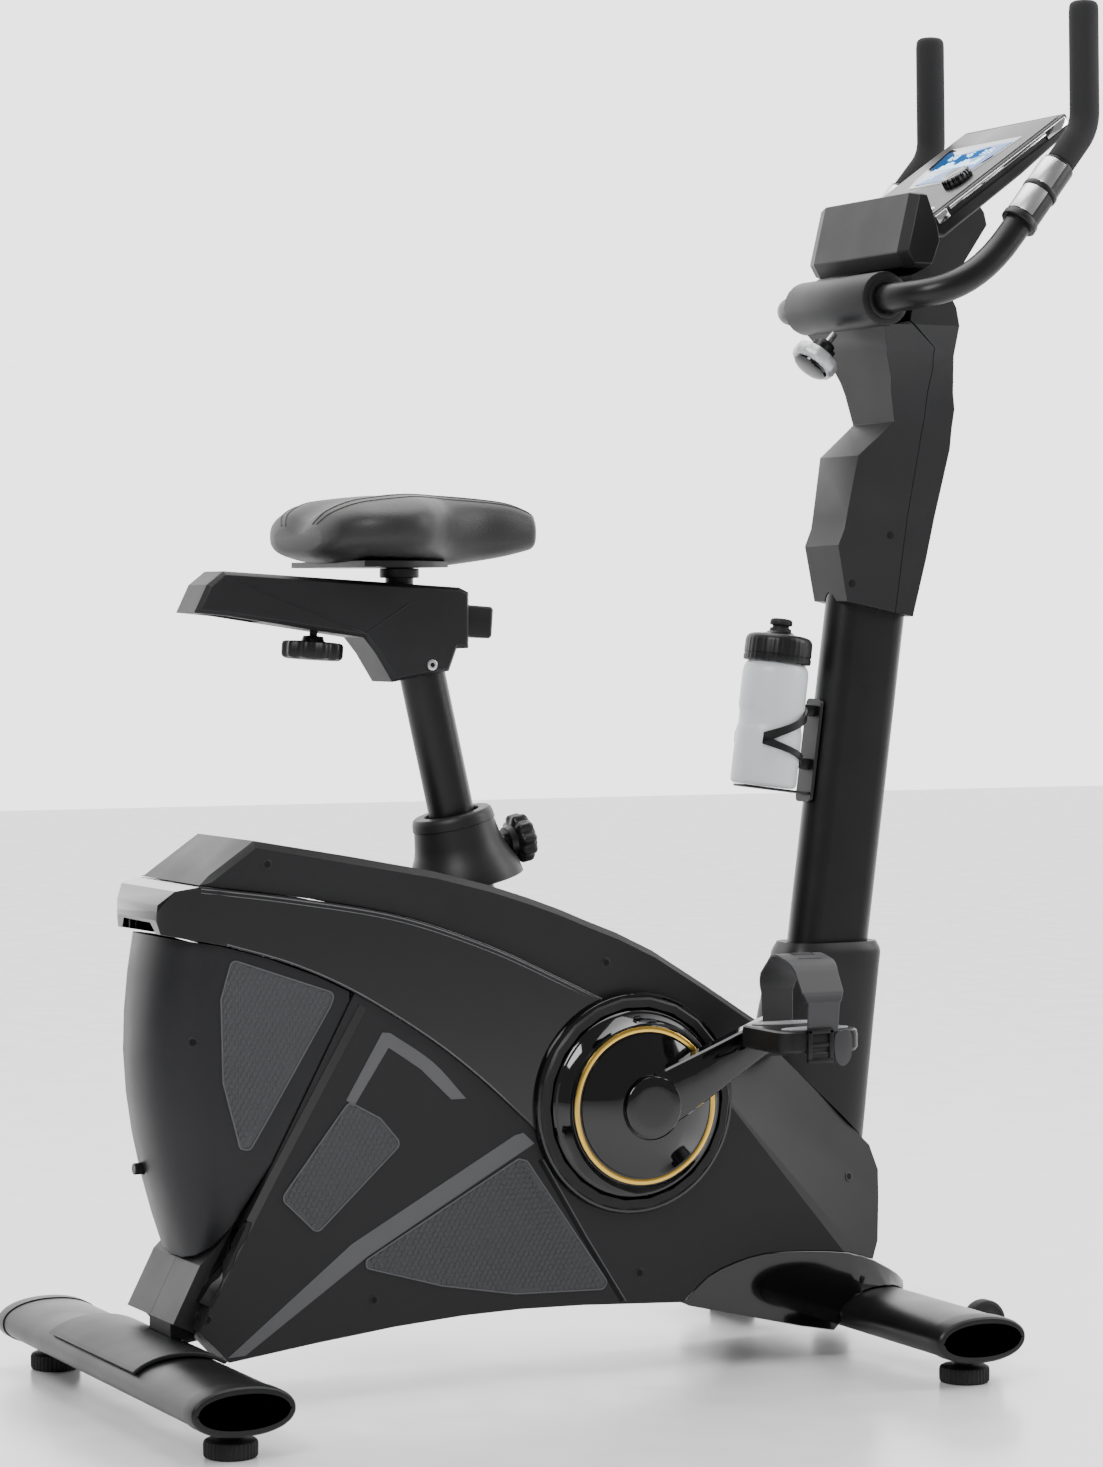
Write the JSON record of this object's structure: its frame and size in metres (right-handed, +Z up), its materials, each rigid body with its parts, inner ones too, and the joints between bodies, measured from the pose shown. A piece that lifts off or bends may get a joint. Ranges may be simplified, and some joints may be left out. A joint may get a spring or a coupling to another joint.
{
  "type": "exercise bike",
  "caption": "Upright magnetic exercise bike with enclosed flywheel, sliding saddle, tilting handlebar, console, pedals with straps and a bottle in a cage.",
  "frame": {"origin": "on the floor under the middle of the bounding box", "axes": "+X towards the handlebar, +Y to the rider's left, +Z up"},
  "size_m": [1.1294, 0.5828, 1.5002],
  "materials": {
    "matte_casing": "fine spark texture, satin matte",
    "gloss_casing": "polished black",
    "frame_paint": "satin black powder coat",
    "post_paint": "smooth gloss black",
    "dark_plastic": "fine moulded grain",
    "bright_plastic": "plated plastic",
    "crank_paint": "satin black forged steel",
    "bare_steel": "machined",
    "cast_iron": "cast, turned rim",
    "rubber": "moulded rubber",
    "foam": "closed-cell foam skin",
    "screen": "blue screen in a grey face",
    "clear_plastic": "translucent squeeze bottle",
    "leatherette": "fine-grained artificial leather"
  },
  "bodies": {
    "frame": {"main_frame": "frame_paint", "rear_stabilizer": "frame_paint", "front_stabilizer": "frame_paint", "rear_end_cap_right": "dark_plastic", "rear_end_cap_left": "dark_plastic", "front_end_cap_right": "dark_plastic", "front_end_cap_left": "dark_plastic", "rear_foot_cover": "matte_casing", "front_cowl": "gloss_casing", "side_cover_right": "matte_casing", "side_cover_left": "matte_casing", "tail_cover": "matte_casing", "top_cover": "matte_casing", "arch_band": "gloss_casing", "mast_boot": "matte_casing", "power_inlet": "dark_plastic", "drive_belt": "rubber", "servo_motor": "dark_plastic", "mast_tube": "frame_paint", "mast_shroud_rear": "matte_casing", "mast_shroud_front": "matte_casing", "console_shell": "dark_plastic", "console_face": "screen", "bottle_cage": "dark_plastic"},
    "cranks": {"crank_spindle": "bare_steel", "crank_pulley": "dark_plastic", "crank_right": "crank_paint", "crank_left": "crank_paint", "crank_disc_right": "gloss_casing", "crank_disc_left": "gloss_casing"},
    "flywheel": {"flywheel": "cast_iron"},
    "pedal_right": {"pedal_right": "dark_plastic", "pedal_strap_right": "rubber"},
    "pedal_left": {"pedal_left": "dark_plastic", "pedal_strap_left": "rubber"},
    "brake_arm": {"brake_arm": "bare_steel"},
    "seat_post": {"seat_post": "post_paint", "slider_shroud": "matte_casing"},
    "seat_post_knob": {"seat_post_knob": "dark_plastic"},
    "saddle": {"slider_rail": "frame_paint", "saddle_cushion": "leatherette"},
    "saddle_lock": {"slider_knob": "dark_plastic"},
    "handlebar": {"handlebar": "frame_paint", "hand_grip_right": "foam", "hand_grip_left": "foam", "pulse_sensor_right": "dark_plastic", "pulse_sensor_left": "dark_plastic"},
    "handlebar_lock": {"handlebar_knob": "dark_plastic"},
    "dial": {"console_dial": "dark_plastic"},
    "button_reset": {"console_button_reset": "bright_plastic"},
    "button_mode": {"console_button_mode": "bright_plastic"},
    "button_set": {"console_button_set": "bright_plastic"},
    "rear_foot_right": {"rear_foot_right": "rubber"},
    "rear_foot_left": {"rear_foot_left": "rubber"},
    "front_foot_right": {"front_foot_right": "rubber"},
    "front_foot_left": {"front_foot_left": "rubber"},
    "wheel_right": {"transport_wheel_right": "rubber"},
    "wheel_left": {"transport_wheel_left": "rubber"},
    "bottle": {"bottle": "clear_plastic"},
    "lid": {"bottle_lid": "dark_plastic"}
  },
  "joints": [
    {"name": "crank_spin", "type": "hinge", "parent": "frame", "child": "cranks", "pos_m": [0.0205, 0, 0.299], "axis": [0, 1, 0], "continuous": true},
    {"name": "flywheel_spin", "type": "hinge", "parent": "frame", "child": "flywheel", "pos_m": [-0.3095, 0, 0.3], "axis": [0, 1, 0], "continuous": true},
    {"name": "pedal_right_spin", "type": "hinge", "parent": "cranks", "child": "pedal_right", "pos_m": [0.16816, -0.19, 0.37262], "axis": [0, 1, 0], "continuous": true},
    {"name": "pedal_left_spin", "type": "hinge", "parent": "cranks", "child": "pedal_left", "pos_m": [-0.12716, 0.19, 0.22538], "axis": [0, 1, 0], "continuous": true},
    {"name": "brake_swing", "type": "hinge", "parent": "frame", "child": "brake_arm", "pos_m": [-0.19705, 0, 0.2183], "axis": [0, 1, 0], "range_deg": [0, 6]},
    {"name": "seat_height", "type": "slide", "parent": "frame", "child": "seat_post", "axis": [-0.225, 0, 0.9744], "range_m": [-0.1, 0.12]},
    {"name": "seat_pin_pull", "type": "slide", "parent": "frame", "child": "seat_post_knob", "axis": [0.9744, 0, 0.225], "range_m": [0, 0.01], "stiffness_N_per_m": 800},
    {"name": "saddle_slide", "type": "slide", "parent": "seat_post", "child": "saddle", "axis": [0.9976, 0, -0.0698], "range_m": [-0.08, 0.02]},
    {"name": "saddle_lock_turn", "type": "hinge", "parent": "seat_post", "child": "saddle_lock", "pos_m": [-0.31151, 0, 0.802], "axis": [-0.0698, 0, -0.9976], "range_deg": [0, 360]},
    {"name": "handlebar_tilt", "type": "hinge", "parent": "frame", "child": "handlebar", "pos_m": [0.3365, 0, 1.169], "axis": [0, 1, 0], "range_deg": [-15, 15]},
    {"name": "handlebar_lock_turn", "type": "hinge", "parent": "frame", "child": "handlebar_lock", "pos_m": [0.3195, 0, 1.132], "axis": [-0.6392, 0, -0.769], "range_deg": [0, 360]},
    {"name": "dial_turn", "type": "hinge", "parent": "frame", "child": "dial", "pos_m": [0.44832, -0.06, 1.30385], "axis": [-0.5765, 0, 0.8171], "continuous": true},
    {"name": "button_reset_press", "type": "slide", "parent": "frame", "child": "button_reset", "axis": [0.5765, 0, -0.8171], "range_m": [0, 0.001], "stiffness_N_per_m": 1500},
    {"name": "button_mode_press", "type": "slide", "parent": "frame", "child": "button_mode", "axis": [0.5765, 0, -0.8171], "range_m": [0, 0.001], "stiffness_N_per_m": 1500},
    {"name": "button_set_press", "type": "slide", "parent": "frame", "child": "button_set", "axis": [0.5765, 0, -0.8171], "range_m": [0, 0.001], "stiffness_N_per_m": 1500},
    {"name": "rear_foot_right_screw", "type": "slide", "parent": "frame", "child": "rear_foot_right", "axis": [0, 0, -1], "range_m": [0, 0.01]},
    {"name": "rear_foot_left_screw", "type": "slide", "parent": "frame", "child": "rear_foot_left", "axis": [0, 0, -1], "range_m": [0, 0.01]},
    {"name": "front_foot_right_screw", "type": "slide", "parent": "frame", "child": "front_foot_right", "axis": [0, 0, -1], "range_m": [0, 0.01]},
    {"name": "front_foot_left_screw", "type": "slide", "parent": "frame", "child": "front_foot_left", "axis": [0, 0, -1], "range_m": [0, 0.01]},
    {"name": "wheel_right_spin", "type": "hinge", "parent": "frame", "child": "wheel_right", "pos_m": [0.4175, -0.165, 0.044], "axis": [0, 1, 0], "continuous": true},
    {"name": "wheel_left_spin", "type": "hinge", "parent": "frame", "child": "wheel_left", "pos_m": [0.4175, 0.165, 0.044], "axis": [0, 1, 0], "continuous": true},
    {"name": "bottle_lift", "type": "slide", "parent": "frame", "child": "bottle", "axis": [0.1286, 0, 0.9917], "range_m": [0, 0.09]},
    {"name": "lid_turn", "type": "hinge", "parent": "bottle", "child": "lid", "pos_m": [0.23098, 0, 0.63106], "axis": [0.1286, 0, 0.9917], "range_deg": [0, 360]}
  ],
  "couplings": [
    {"joint": "flywheel_spin", "follows": "crank_spin", "ratio": 4.7727}
  ]
}
